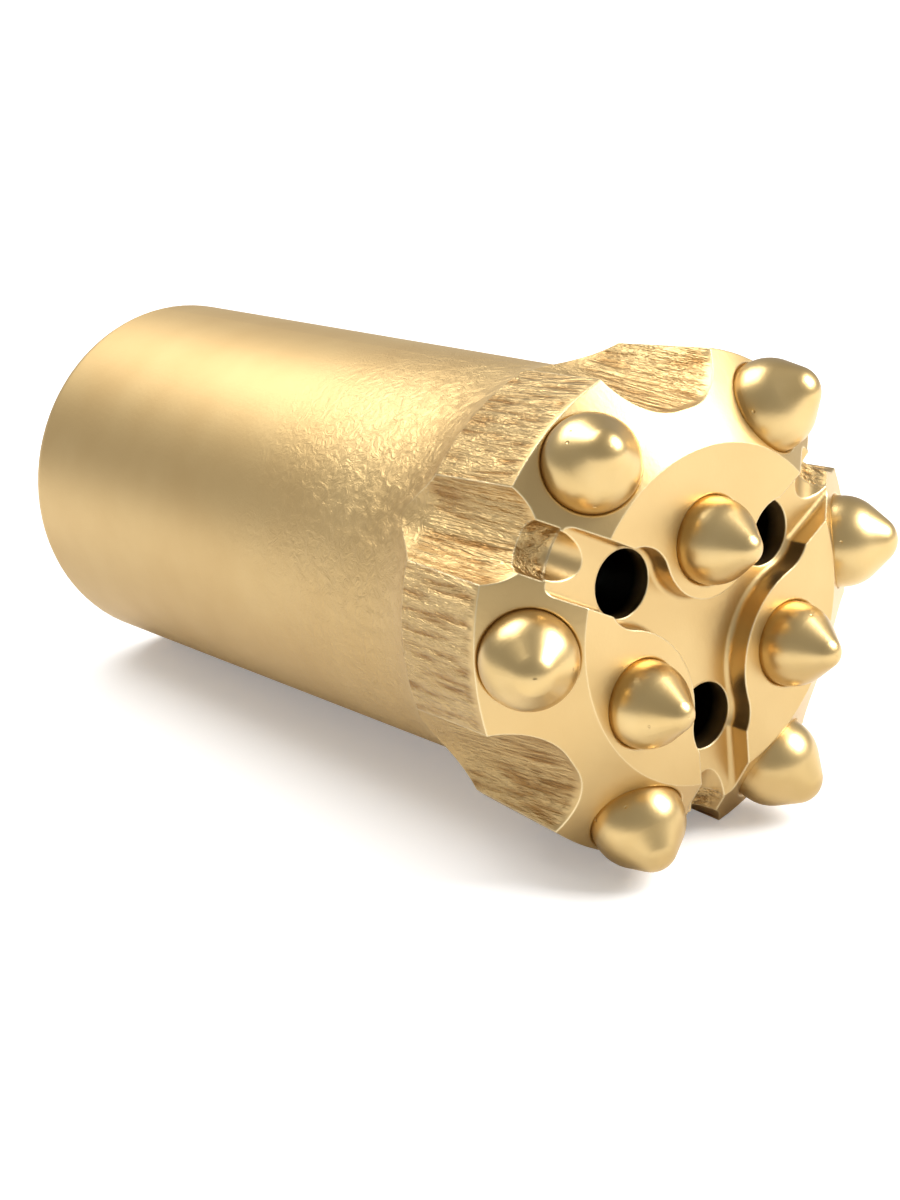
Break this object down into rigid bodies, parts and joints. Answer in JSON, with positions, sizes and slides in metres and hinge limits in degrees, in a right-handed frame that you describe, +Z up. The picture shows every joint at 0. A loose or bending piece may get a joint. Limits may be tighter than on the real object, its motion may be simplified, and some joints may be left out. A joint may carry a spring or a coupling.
{
  "type": "button drill bit",
  "caption": "Threaded button bit for top-hammer rock drilling: steel body with ballistic carbide inserts, chip scallops and flushing holes.",
  "frame": {"origin": "centre of the drill-rod socket's plain mouth, where its wall begins at the rear end of the skirt", "axes": "+Z up with the bit lying on its side; the bit's axis runs along +X towards the cutting face and rises by 2.3 degrees, because the head rests on two of its corners and is wider than the skirt"},
  "size_m": [0.1223, 0.0606, 0.0573],
  "materials": {
    "body_steel": "satin",
    "insert_carbide": "satin"
  },
  "bodies": {
    "root": {"bit_body": "body_steel", "gauge_button_1": "insert_carbide", "gauge_button_2": "insert_carbide", "gauge_button_3": "insert_carbide", "gauge_button_4": "insert_carbide", "gauge_button_5": "insert_carbide", "gauge_button_6": "insert_carbide", "front_button_1": "insert_carbide", "front_button_2": "insert_carbide", "front_button_3": "insert_carbide"}
  },
  "joints": []
}
